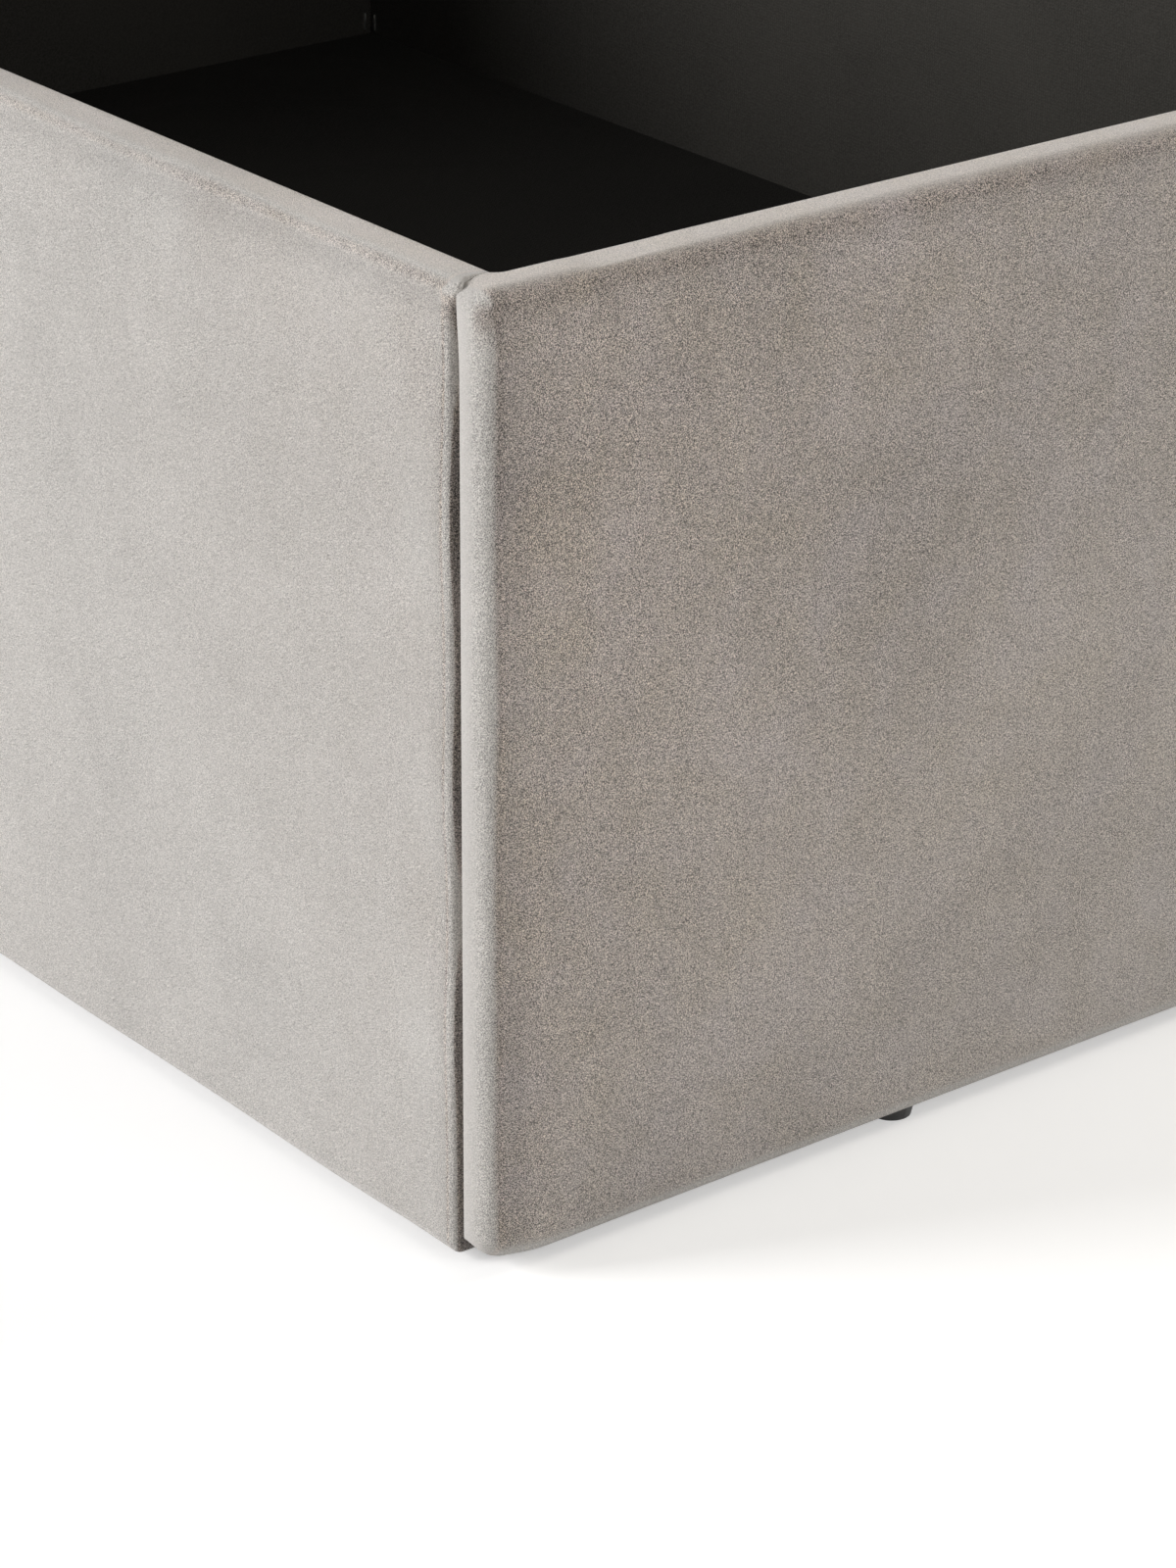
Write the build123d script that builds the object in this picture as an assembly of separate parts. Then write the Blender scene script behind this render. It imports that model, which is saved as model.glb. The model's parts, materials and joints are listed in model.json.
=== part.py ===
from build123d import *
import math
import os

# Storage ottoman: an upholstered box on low glides with a padded lid, hinged at the back and standing open.
# Millimetres, +Z up, X along the long side, front face towards -Y.
# The origin is on the floor under the middle of the box.

# Overall sizes
box_length = 1200.0
box_depth = 825.0
panel_height = 345.0
glide_height = 6.0

# Layers and edges of an upholstered panel
board_thickness = 12.0
padding_thickness = 4.0
cover_thickness = 1.25
lining_thickness = 0.8
corner_round = 11.0
face_roll = 10.0
inner_roll = 4.5
top_hem = 28.0
bottom_hem = 20.0
side_hem = 10.0
lining_lap = 8.0

# Storage floor
batten_lift = 2.0
batten_height = 22.0
batten_width = 30.0
centre_rail_width = 44.0
floor_board = 5.0
floor_seam = 0.6
fitting_gap = 0.6

# Corner brackets and fasteners
bracket_leg = 45.0
bracket_height = 110.0
bracket_lift = 105.0
bracket_thickness = 2.5
bracket_bolt_inset = 25.0
bolt_radius = 3.0
bolt_head_radius = 6.5
bolt_head_height = 3.0
screw_radius = 2.0
screw_head_radius = 4.0
screw_head_height = 2.0
board_bite = 9.0
long_batten_screws = 5
end_batten_screws = 4
screw_sink = 6.0

# Glides
glide_top_radius = 9.0
glide_foot_radius = 7.5
glide_nail_radius = 1.5
glide_nail_length = 20.0
end_glide_setback = 192.0
long_glide_setback = 368.0

# Lid
lid_gap = 3.0
lid_side_height = 72.0
lid_crown = 12.0
lid_draw = 4.0
lid_top_roll = 22.0
lid_corner = 26.0
lid_crown_flat = 8.0
lid_bow_steps = 4
lid_roll_steps = 4
lid_crown_steps = 5
lid_board_thickness = 15.0
lid_side_padding = 4.0
lid_hem = 62.0
lid_open_angle = 80.0
bumper_radius = 9.0
bumper_setback = 60.0
bumper_squash = 0.3
tab_width = 46.0
tab_reach = 26.0
tab_tail = 44.0
tab_strap = 1.6
tab_loop_radius = 4.5

# Hinges
hinge_width = 64.0
hinge_leaf = 2.0
hinge_reach = 44.0
hinge_barrel = 5.0
hinge_pin = 2.5
hinge_knuckle = 17.0
hinge_setback = 190.0
hinge_screw_row = 28.0
hinge_screw_spread = 40.0
knuckle_gap = 0.3
knuckle_relief = 0.6

# Gas struts and their brackets
running_clearance = 0.05
strut_setback = 17.0
strut_base_forward = 41.5
strut_base_drop = 33.0
strut_lid_reach = 360.0
strut_lid_drop = 24.0
strut_tube_radius = 9.0
strut_tube_wall = 2.0
strut_tube_length = 268.0
strut_tube_start = 15.0
strut_gland_length = 12.0
strut_rod_radius = 4.0
strut_piston_length = 10.0
strut_piston_stop = 2.0
strut_eye_radius = 9.0
strut_eye_width = 10.0
strut_neck_radius = 6.0
rod_end_radius = 8.0
rod_end_neck = 7.0
stud_radius = 4.0
stud_head_radius = 6.5
stud_head = 2.0
stud_side_gap = 0.5
plate_thickness = 2.5
plate_width = 30.0
plate_above = 12.0
plate_below = 56.0
plate_screw_spacing = 24.0
lid_foot_width = 36.0
lid_foot_length = 46.0
lid_foot_screw_spacing = 28.0
flange_margin = 6.0

# Values that follow from the sizes above
panel_thickness = board_thickness + padding_thickness + 2 * cover_thickness
layer_depth = cover_thickness + padding_thickness
inner_length = box_length - 2 * panel_thickness
inner_depth = box_depth - 2 * panel_thickness
wall_x = inner_length / 2 - lining_thickness
wall_y = inner_depth / 2 - lining_thickness
end_side_hem = panel_thickness + lining_thickness + lining_lap + fitting_gap
rim_z = glide_height + panel_height
lid_low = rim_z + lid_gap
hinge_y = box_depth / 2 + hinge_barrel
hinge_z = lid_low - hinge_barrel
hinge_xs = {
    "left": -(box_length / 2 - hinge_setback),
    "middle": 0.0,
    "right": box_length / 2 - hinge_setback,
}
hinge_axis = Axis((0, hinge_y, hinge_z), (-1, 0, 0))
lining_step = lining_thickness + cover_thickness

parts = {}


def block(x_range, y_range, z_range):
    """Box between two limits along each axis."""
    lows = [min(pair) for pair in (x_range, y_range, z_range)]
    highs = [max(pair) for pair in (x_range, y_range, z_range)]
    size = [high - low for low, high in zip(lows, highs)]
    middle = [(low + high) / 2 for low, high in zip(lows, highs)]
    return Pos(*middle) * Box(*size)


def rod_along_x(radius, x_range, y, z):
    """Round bar along X between two limits."""
    low, high = min(x_range), max(x_range)
    bar = Rot(0, 90, 0) * Cylinder(radius, high - low)
    return Pos((low + high) / 2, y, z) * bar


def aimed(shape, origin, direction):
    """Places a shape made along +Z so that it points along a direction."""
    return Plane(origin=origin, z_dir=direction).location * shape


def fastener(shank_radius, shank_length, head_radius, head_height):
    """Screw or bolt along Z: the head stands on z = 0 and the shank runs below it."""
    head = Pos(0, 0, head_height / 2) * Cylinder(head_radius, head_height)
    head = fillet(head.faces().sort_by(Axis.Z)[-1].edges(), head_height / 2)
    shank = Pos(0, 0, -shank_length / 2) * Cylinder(shank_radius, shank_length)
    return head + shank


def group(shapes):
    """Identical separate pieces that share one node."""
    return Compound([solid for shape in shapes for solid in shape.solids()])


def opened(shape):
    """Turns a lid piece from its closed place to its open one."""
    return shape.rotate(hinge_axis, lid_open_angle)


def rounded_slab(length, height, thickness, corner, outer_roll, rear_roll):
    """Upright slab with its outer face on y = 0: rounded or square corners, rolled edges on both faces."""
    slab = Pos(0, thickness / 2, height / 2) * Box(length, thickness, height)
    if corner > 0:
        slab = fillet(slab.edges().filter_by(Axis.Y), corner)
    slab = fillet(slab.faces().sort_by(Axis.Y)[0].edges(), outer_roll)
    return fillet(slab.faces().sort_by(Axis.Y)[-1].edges(), rear_roll)


def panel_layers(length, end_hem, corner):
    """Board, padding, cover and lining of one panel, outer face on y = 0 and bottom on z = 0."""
    skin = rounded_slab(length, panel_height, panel_thickness, corner, face_roll, inner_roll)
    core = Pos(0, cover_thickness, cover_thickness) * rounded_slab(
        length - 2 * cover_thickness,
        panel_height - 2 * cover_thickness,
        panel_thickness - 2 * cover_thickness,
        corner - cover_thickness,
        face_roll - cover_thickness,
        inner_roll - cover_thickness,
    )
    board = block(
        (-length / 2 + layer_depth, length / 2 - layer_depth),
        (layer_depth, layer_depth + board_thickness),
        (layer_depth, panel_height - layer_depth),
    )
    if corner > layer_depth:
        board = fillet(board.edges().filter_by(Axis.Y), corner - layer_depth)
    window_x = length / 2 - end_hem
    window_z = (bottom_hem, panel_height - top_hem)
    window_y = (panel_thickness - cover_thickness, panel_thickness)
    window = block((-window_x, window_x), window_y, window_z)
    lap = block(
        (-window_x - lining_lap, window_x + lining_lap),
        (panel_thickness, panel_thickness + lining_thickness),
        (window_z[0] - lining_lap, window_z[1] + lining_lap),
    )
    return {
        "board": board,
        "padding": core - board,
        "cover": skin - core - window,
        "lining": window + lap,
    }


def upholstered_panels():
    """The four panels in place: the end panels run the full depth and cap the square-ended long ones."""
    places = {
        "front": Pos(0, -box_depth / 2, glide_height),
        "back": Pos(0, box_depth / 2, glide_height) * Rot(0, 0, 180),
        "left": Pos(-box_length / 2, 0, glide_height) * Rot(0, 0, -90),
        "right": Pos(box_length / 2, 0, glide_height) * Rot(0, 0, 90),
    }
    long_layers = panel_layers(inner_length, side_hem, 0)
    end_layers = panel_layers(box_depth, end_side_hem, corner_round)
    panels = {}
    for side, place in places.items():
        layers = long_layers if side in ("front", "back") else end_layers
        panels[side] = {layer: place * shape for layer, shape in layers.items()}
    return panels


def corner_brackets():
    """Steel angles in the four inside corners, and the bolts that hold each leg to its board."""
    bottom = glide_height + bracket_lift
    top = bottom + bracket_height
    shank = bracket_thickness + lining_step + board_bite
    bolt = fastener(bolt_radius, shank, bolt_head_radius, bolt_head_height)
    bolt_reach = (bracket_leg + bracket_thickness) / 2 + bolt_head_height
    brackets = []
    bolts = {"front": [], "back": [], "left": [], "right": []}
    for sx, end in ((-1, "left"), (1, "right")):
        for sy, side in ((-1, "front"), (1, "back")):
            x_in, y_in = sx * (wall_x - bracket_thickness), sy * (wall_y - bracket_thickness)
            long_leg = block((sx * wall_x, sx * (wall_x - bracket_leg)), (sy * wall_y, y_in), (bottom, top))
            end_leg = block((sx * wall_x, x_in), (sy * wall_y, sy * (wall_y - bracket_leg)), (bottom, top))
            bracket = long_leg + end_leg
            for z in (bottom + bracket_bolt_inset, top - bracket_bolt_inset):
                long_bolt = aimed(bolt, (sx * (wall_x - bolt_reach), y_in, z), (0, -sy, 0))
                end_bolt = aimed(bolt, (x_in, sy * (wall_y - bolt_reach), z), (-sx, 0, 0))
                bracket = bracket - long_bolt - end_bolt
                bolts[side].append(long_bolt)
                bolts[end].append(end_bolt)
            brackets.append(bracket)
    parts["corner_brackets"] = group(brackets)
    parts["corner_bolts"] = group([bolt for side in bolts.values() for bolt in side])
    return bolts


def spaced(span, count):
    """Even screw places along a batten."""
    return [span * ((step + 0.5) / count - 0.5) for step in range(count)]


def storage_floor():
    """Battens on the four panels, a centre rail, two floor panels and the lining sheet over them."""
    low = glide_height + batten_lift
    high = low + batten_height
    rail_y = wall_y - batten_width
    middle_z = (low + high) / 2
    shank = batten_width - screw_sink + lining_step + board_bite
    screw = fastener(screw_radius, shank, screw_head_radius, screw_head_height)
    head_room = Cylinder(screw_head_radius, screw_sink, align=(Align.CENTER, Align.CENTER, Align.MIN))
    screws = {"front": [], "back": [], "left": [], "right": []}
    long_half = wall_x - fitting_gap
    for side, sign in (("front", -1), ("back", 1)):
        batten = block((-long_half, long_half), (sign * wall_y, sign * rail_y), (low, high))
        for x in spaced(2 * (long_half - batten_width), long_batten_screws):
            seat = (x, sign * (rail_y + screw_sink), middle_z)
            screws[side].append(aimed(screw, seat, (0, -sign, 0)))
            batten = batten - aimed(head_room, seat, (0, -sign, 0))
        parts[f"{side}_batten"] = batten - screws[side]
    for side, sign in (("left", -1), ("right", 1)):
        batten_x = wall_x - batten_width
        batten = block((sign * wall_x, sign * batten_x), (-rail_y, rail_y), (low, high))
        for y in spaced(2 * rail_y, end_batten_screws):
            seat = (sign * (batten_x + screw_sink), y, middle_z)
            screws[side].append(aimed(screw, seat, (-sign, 0, 0)))
            batten = batten - aimed(head_room, seat, (-sign, 0, 0))
        parts[f"{side}_batten"] = batten - screws[side]
    parts["batten_screws"] = group([screw for side in screws.values() for screw in side])
    rail_half = centre_rail_width / 2
    parts["centre_rail"] = block((-rail_half, rail_half), (-rail_y, rail_y), (low, high))
    floor_y = wall_y - fitting_gap
    sheet_z = high + floor_board
    for side, sign in (("left", -1), ("right", 1)):
        parts[f"floor_panel_{side}"] = block(
            (sign * floor_seam / 2, sign * long_half), (-floor_y, floor_y), (high, sheet_z)
        )
    parts["floor_lining"] = block(
        (-long_half, long_half), (-floor_y, floor_y), (sheet_z, sheet_z + lining_thickness)
    )
    return screws


def glides():
    """Tapered plastic glides, each nailed up through the rolled bottom edge into its board."""
    upright = (Align.CENTER, Align.CENTER, Align.MIN)
    foot = Cone(glide_foot_radius, glide_top_radius, glide_height, align=upright)
    nail = Cylinder(glide_nail_radius, glide_height + glide_nail_length, align=upright)
    glide = foot + nail
    inset = (panel_thickness + face_roll - inner_roll) / 2
    long_x = box_length / 2 - long_glide_setback
    end_y = box_depth / 2 - end_glide_setback
    placed = {"front": [], "back": [], "left": [], "right": []}
    for side, sign in (("front", -1), ("back", 1)):
        placed[side] = [Pos(x, sign * (box_depth / 2 - inset), 0) * glide for x in (-long_x, long_x)]
    for side, sign in (("left", -1), ("right", 1)):
        placed[side] = [Pos(sign * (box_length / 2 - inset), y, 0) * glide for y in (-end_y, end_y)]
    parts["glides"] = group([glide for side in placed.values() for glide in side])
    return placed


def lid_blank(inset):
    """The lid cushion drawn in by an inset all round, closed: bowed sides, a rolled top edge and a crown."""
    low, high = lid_low + inset, lid_low + lid_side_height - inset
    roll = lid_top_roll - inset
    shoulder = high - roll
    contours = []
    for step in range(lid_bow_steps):
        share = step / lid_bow_steps
        contours.append((low + share * (shoulder - low), lid_draw * (1 - share) ** 2))
    for step in range(lid_roll_steps):
        turn = math.radians(90 * step / lid_roll_steps)
        contours.append((shoulder + roll * math.sin(turn), roll * (1 - math.cos(turn))))
    reach = box_depth / 2 - inset - roll
    for step in range(lid_crown_steps):
        share = step / lid_crown_steps
        contours.append((high + lid_crown * (1 - (1 - share) ** 2), roll + reach * share))
    sections = []
    for height, tuck in contours:
        length, depth = box_length - 2 * (inset + tuck), box_depth - 2 * (inset + tuck)
        corner = min(lid_corner - inset + tuck / 2, depth / 2 - lid_crown_flat)
        sections.append(Plane.XY.offset(height) * RectangleRounded(length, depth, corner))
    return loft(sections, ruled=True)


def plan_plate(length, depth, corner, low, high):
    """Flat plate with rounded corners, centred over the box."""
    return extrude(Plane.XY.offset(low) * RectangleRounded(length, depth, corner), high - low)


def lid_layers():
    """Board, foam, cover and underside lining of the lid, closed."""
    tuck = 2 * (cover_thickness + lid_draw + lid_side_padding)
    core_low = lid_low + cover_thickness
    board = plan_plate(
        box_length - tuck, box_depth - tuck, lid_corner - tuck / 2, core_low, core_low + lid_board_thickness
    )
    core = lid_blank(cover_thickness)
    window_size = (box_length - 2 * lid_hem, box_depth - 2 * lid_hem)
    window = plan_plate(*window_size, lid_corner, lid_low, core_low)
    lap_size = [size + 2 * lining_lap for size in window_size]
    lap = plan_plate(*lap_size, lid_corner + lining_lap, lid_low - lining_thickness, lid_low)
    return {
        "lid_board": board,
        "lid_foam": core - board,
        "lid_cover": lid_blank(0) - core - window,
        "lid_lining": window + lap,
    }


def lid_trim():
    """Rubber bumpers that land on the end panels, and the strap loop at the front edge, closed."""
    bumper_x = box_length / 2 - (panel_thickness + face_roll - inner_roll) / 2
    bumper_y = box_depth / 2 - bumper_setback
    thickness = lid_gap - bumper_squash
    bumper = Cylinder(bumper_radius, thickness, align=(Align.CENTER, Align.CENTER, Align.MAX))
    spots = [(sx * bumper_x, sy * bumper_y) for sx in (-1, 1) for sy in (-1, 1)]
    parts["lid_bumpers"] = opened(group([Pos(x, y, lid_low) * bumper for x, y in spots]))
    half = tab_width / 2
    front = -box_depth / 2
    loop_y = front - tab_reach + tab_loop_radius
    loop_z = lid_low - tab_loop_radius
    strap = block((-half, half), (front + tab_tail, loop_y), (lid_low - tab_strap, lid_low))
    loop = rod_along_x(tab_loop_radius, (-half, half), loop_y, loop_z)
    hollow = rod_along_x(tab_loop_radius - tab_strap, (-half, half), loop_y, loop_z)
    parts["lid_pull_tab"] = opened(strap + (loop - hollow))


def hinges():
    """Three butt hinges behind the back panel; returns the screws in the base and in the closed lid."""
    base_screws, lid_screws, pins = [], [], []
    side_screw = fastener(
        screw_radius, hinge_leaf + layer_depth + board_bite, screw_head_radius, screw_head_height
    )
    lid_screw = fastener(
        screw_radius, hinge_leaf + cover_thickness + board_bite, screw_head_radius, hinge_leaf / 2
    )
    back = box_depth / 2
    half = hinge_width / 2
    inner = half - hinge_knuckle
    clear = hinge_barrel + knuckle_relief
    for side, x in hinge_xs.items():
        whole = (x - half, x + half)
        middle = (x - inner + knuckle_gap, x + inner - knuckle_gap)
        ends = [(x - half, x - inner), (x + inner, x + half)]
        bore = rod_along_x(hinge_pin + running_clearance, whole, hinge_y, hinge_z)
        base_leaf = block(whole, (back, back + hinge_leaf), (hinge_z - hinge_reach, hinge_z))
        base_leaf -= block((x - inner, x + inner), (back, back + hinge_leaf), (hinge_z - clear, hinge_z))
        lid_leaf = block(whole, (hinge_y - hinge_reach, hinge_y), (lid_low - hinge_leaf, lid_low))
        for end in ends:
            relief = (min(end) - knuckle_gap, max(end) + knuckle_gap)
            base_leaf += rod_along_x(hinge_barrel, end, hinge_y, hinge_z)
            lid_leaf -= block(relief, (hinge_y - clear, hinge_y), (lid_low - hinge_leaf, lid_low))
        lid_leaf += rod_along_x(hinge_barrel, middle, hinge_y, hinge_z)
        for offset in (-hinge_screw_spread / 2, 0, hinge_screw_spread / 2):
            seat = (x + offset, back + hinge_leaf, hinge_z - hinge_screw_row)
            base_screws.append(aimed(side_screw, seat, (0, 1, 0)))
            sunk = (x + offset, hinge_y - hinge_screw_row, lid_low - hinge_leaf / 2)
            lid_screws.append(aimed(lid_screw, sunk, (0, 0, -1)))
        parts[f"{side}_hinge_base_leaf"] = base_leaf - bore - base_screws[-3:]
        parts[f"{side}_hinge_lid_leaf"] = opened(lid_leaf - bore - lid_screws[-3:])
        pins.append(rod_along_x(hinge_pin, whole, hinge_y, hinge_z))
    parts["hinge_pins"] = group(pins)
    parts["hinge_base_screws"] = group(base_screws)
    parts["hinge_lid_screws"] = opened(group(lid_screws))
    return base_screws, lid_screws


def lid_pivot(angle):
    """Place of the strut's lid pivot, as y and z, with the lid opened by an angle in degrees."""
    turn = math.radians(angle)
    y = hinge_y - strut_lid_reach * math.cos(turn) - strut_lid_drop * math.sin(turn)
    z = hinge_z + strut_lid_reach * math.sin(turn) - strut_lid_drop * math.cos(turn)
    return y, z


strut_base_y = hinge_y - strut_base_forward
strut_base_z = hinge_z - strut_base_drop


def strut_pose(angle):
    """Length and direction, in radians from +Y, of a line from the base pivot to the lid pivot."""
    y, z = lid_pivot(angle)
    return math.hypot(y - strut_base_y, z - strut_base_z), math.atan2(z - strut_base_z, y - strut_base_y)


closed_length, closed_direction = strut_pose(0)
open_length, open_direction = strut_pose(lid_open_angle)


def stud_drift(steps=40):
    """How far the stud wanders in the lid bracket as the lid turns, along and away from the lid."""
    along, away = [0.0], [0.0]
    for step in range(steps + 1):
        share = step / steps
        turn = math.radians(share * lid_open_angle)
        length = closed_length + share * (open_length - closed_length)
        direction = closed_direction % math.tau
        direction += share * (open_direction % math.tau - direction)
        y, z = lid_pivot(share * lid_open_angle)
        off_y = strut_base_y + length * math.cos(direction) - y
        off_z = strut_base_z + length * math.sin(direction) - z
        along.append(off_y * math.cos(turn) - off_z * math.sin(turn))
        away.append(off_y * math.sin(turn) + off_z * math.cos(turn))
    return (min(along), max(along)), (min(away), max(away))


def strut_brackets(sign, side):
    """Base plate with its stud, and the slotted lid bracket, for one end; returns their screws."""
    plate_x = wall_x - plate_thickness
    strut_x = wall_x - strut_setback
    eye_half = strut_eye_width / 2
    plate = block(
        (sign * wall_x, sign * plate_x),
        (strut_base_y - plate_width / 2, strut_base_y + plate_width / 2),
        (strut_base_z - plate_below, strut_base_z + plate_above),
    )
    collar_end = strut_x + eye_half + stud_side_gap
    stud_end = strut_x - eye_half - stud_side_gap
    plate += rod_along_x(stud_head_radius, (sign * plate_x, sign * collar_end), strut_base_y, strut_base_z)
    plate += rod_along_x(stud_radius, (sign * plate_x, sign * stud_end), strut_base_y, strut_base_z)
    head_x = (sign * stud_end, sign * (stud_end - stud_head))
    plate += rod_along_x(stud_head_radius, head_x, strut_base_y, strut_base_z)
    shank = plate_thickness + lining_step + board_bite
    screw = fastener(screw_radius, shank, screw_head_radius, screw_head_height)
    low_screw = strut_base_z - plate_below + screw_head_radius + fitting_gap
    rows = (low_screw, low_screw + plate_screw_spacing)
    base_screws = [aimed(screw, (sign * plate_x, strut_base_y, z), (-sign, 0, 0)) for z in rows]
    parts[f"{side}_strut_base_bracket"] = plate - base_screws

    pivot_y, pivot_z = lid_pivot(0)
    (drift_front, drift_back), (drift_down, drift_up) = stud_drift()
    stud_room = stud_radius + stud_side_gap
    slot_y = (pivot_y + drift_front - stud_room, pivot_y + drift_back + stud_room)
    slot_z = (pivot_z + drift_down - stud_room, pivot_z + drift_up + stud_room)
    face_x = strut_x + eye_half + stud_side_gap
    flange_x = (sign * face_x, sign * (face_x + plate_thickness))
    foot_x = (sign * (face_x + plate_thickness - lid_foot_width), flange_x[1])
    foot_z = (lid_low - lining_thickness - plate_thickness, lid_low - lining_thickness)
    foot_y = (pivot_y - lid_foot_length / 2, pivot_y + lid_foot_length / 2)
    flange_y = (slot_y[0] - flange_margin, slot_y[1] + flange_margin)
    lid_bracket = block(flange_x, flange_y, (slot_z[0] - flange_margin, foot_z[1]))
    lid_bracket += block(foot_x, foot_y, foot_z)
    lid_bracket -= block(flange_x, slot_y, slot_z)
    screw_x = sign * (face_x + plate_thickness - lid_foot_width / 2)
    lid_screws = []
    for offset in (-lid_foot_screw_spacing / 2, lid_foot_screw_spacing / 2):
        lid_screws.append(aimed(screw, (screw_x, pivot_y + offset, foot_z[0]), (0, 0, -1)))
    parts[f"{side}_strut_lid_bracket"] = opened(lid_bracket - lid_screws)
    return base_screws, lid_screws


def gas_strut(sign, side):
    """One strut, drawn out along +Z from its base pivot and then leaned to the open lid's pivot."""
    bottom = strut_tube_start
    top = bottom + strut_tube_length
    bore_radius = strut_tube_radius - strut_tube_wall
    upward = (Align.CENTER, Align.CENTER, Align.MIN)
    tube = Pos(0, 0, bottom) * Cylinder(strut_tube_radius, strut_tube_length, align=upward)
    tube -= Pos(0, 0, bottom + strut_tube_wall) * Cylinder(bore_radius, strut_tube_length, align=upward)
    eye_half = strut_eye_width / 2
    eye = rod_along_x(strut_eye_radius, (-eye_half, eye_half), 0, 0)
    eye += Cylinder(strut_neck_radius, bottom, align=upward) & block(
        (-eye_half, eye_half), (-strut_neck_radius, strut_neck_radius), (0, bottom)
    )
    eye -= rod_along_x(stud_radius + running_clearance, (-eye_half, eye_half), 0, 0)
    gland = Pos(0, 0, top) * Cylinder(strut_tube_radius, strut_gland_length, align=upward)
    gland -= Pos(0, 0, top) * Cylinder(strut_rod_radius + running_clearance, strut_gland_length, align=upward)
    piston_low = top - strut_piston_stop - strut_piston_length
    rod_high = open_length - rod_end_radius - rod_end_neck
    rod = Pos(0, 0, piston_low) * Cylinder(strut_rod_radius, rod_high - piston_low, align=upward)
    piston_radius = bore_radius - running_clearance
    rod += Pos(0, 0, piston_low) * Cylinder(piston_radius, strut_piston_length, align=upward)
    rod_end = rod_along_x(rod_end_radius, (-eye_half, eye_half), 0, open_length)
    neck = Pos(0, 0, rod_high) * Cylinder(strut_neck_radius, rod_end_radius + rod_end_neck, align=upward)
    rod_end += neck & block(
        (-eye_half, eye_half), (-strut_neck_radius, strut_neck_radius), (rod_high, open_length)
    )
    stud_out = eye_half + 2 * stud_side_gap + plate_thickness
    rod_end += rod_along_x(stud_radius, (0, sign * stud_out), 0, open_length)
    head_x = (sign * stud_out, sign * (stud_out + stud_head))
    rod_end += rod_along_x(stud_head_radius, head_x, 0, open_length)
    lean = math.degrees(open_direction) - 90
    place = Pos(sign * (wall_x - strut_setback), strut_base_y, strut_base_z) * Rot(lean, 0, 0)
    pieces = {"tube": tube, "base_eye": eye, "gland": gland, "rod": rod, "rod_end": rod_end}
    for name, piece in pieces.items():
        parts[f"{side}_strut_{name}"] = place * piece


panels = upholstered_panels()
fixings = {side: [] for side in panels}
for placed in (corner_brackets(), storage_floor(), glides()):
    for side, pieces in placed.items():
        fixings[side] += pieces
hinge_base_screws, lid_fixings = hinges()
fixings["back"] += hinge_base_screws
strut_base_screws, strut_lid_screws = [], []
for end_sign, end in ((-1, "left"), (1, "right")):
    base_screws, lid_screws = strut_brackets(end_sign, end)
    fixings[end] += base_screws
    strut_base_screws += base_screws
    strut_lid_screws += lid_screws
    gas_strut(end_sign, end)
parts["strut_base_screws"] = group(strut_base_screws)
parts["strut_lid_screws"] = opened(group(strut_lid_screws))
lid_trim()

for side, layers in panels.items():
    for layer, shape in layers.items():
        parts[f"{side}_{layer}"] = shape - fixings[side]
for name, shape in lid_layers().items():
    parts[name] = opened(shape - lid_fixings - strut_lid_screws)

os.makedirs("parts", exist_ok=True)
for name, shape in parts.items():
    export_step(shape, f"parts/{name}.step")
swing = math.degrees(closed_direction % math.tau - open_direction % math.tau)
print("nodes", len(parts))
print("hinge axis y, z", hinge_y, hinge_z)
print("strut base y, z", strut_base_y, strut_base_z)
print("strut x", wall_x - strut_setback)
print("strut lengths closed, open", closed_length, open_length)
print("strut direction open, swing", math.degrees(open_direction), swing)
print("stud drift along, away", stud_drift())
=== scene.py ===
import json
import math

import bmesh
import bpy
from mathutils import Matrix, Vector, noise


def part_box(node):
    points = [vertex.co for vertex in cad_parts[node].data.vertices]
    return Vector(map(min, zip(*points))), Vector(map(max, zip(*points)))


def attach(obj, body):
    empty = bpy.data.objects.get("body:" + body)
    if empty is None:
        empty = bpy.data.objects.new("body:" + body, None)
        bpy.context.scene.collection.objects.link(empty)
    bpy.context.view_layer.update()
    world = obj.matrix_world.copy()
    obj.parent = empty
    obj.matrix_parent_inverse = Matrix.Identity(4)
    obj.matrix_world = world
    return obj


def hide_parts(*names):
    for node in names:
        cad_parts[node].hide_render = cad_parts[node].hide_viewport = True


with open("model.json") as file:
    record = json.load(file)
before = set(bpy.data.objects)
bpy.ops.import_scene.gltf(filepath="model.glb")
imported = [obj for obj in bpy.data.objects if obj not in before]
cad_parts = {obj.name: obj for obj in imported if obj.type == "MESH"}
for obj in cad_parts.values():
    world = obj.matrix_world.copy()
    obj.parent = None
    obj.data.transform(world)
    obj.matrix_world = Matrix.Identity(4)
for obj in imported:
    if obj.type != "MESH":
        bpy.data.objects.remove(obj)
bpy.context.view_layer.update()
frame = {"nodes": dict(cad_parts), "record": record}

# Velvet edges of the box
LONG_PANEL_ROLL = 0.0042
END_PANEL_ROLL = 0.008
PANEL_INNER_ROLL = 0.0028
PANEL_NOSE = 0.0085
RIM_RISE = 0.0007
FOOT_DROP = 0.0029
END_GAP = 0.0003
NET_PITCH = 0.015
PANELS = {
    "front": Vector((0, -1, 0)),
    "back": Vector((0, 1, 0)),
    "left": Vector((-1, 0, 0)),
    "right": Vector((1, 0, 0)),
}

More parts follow.
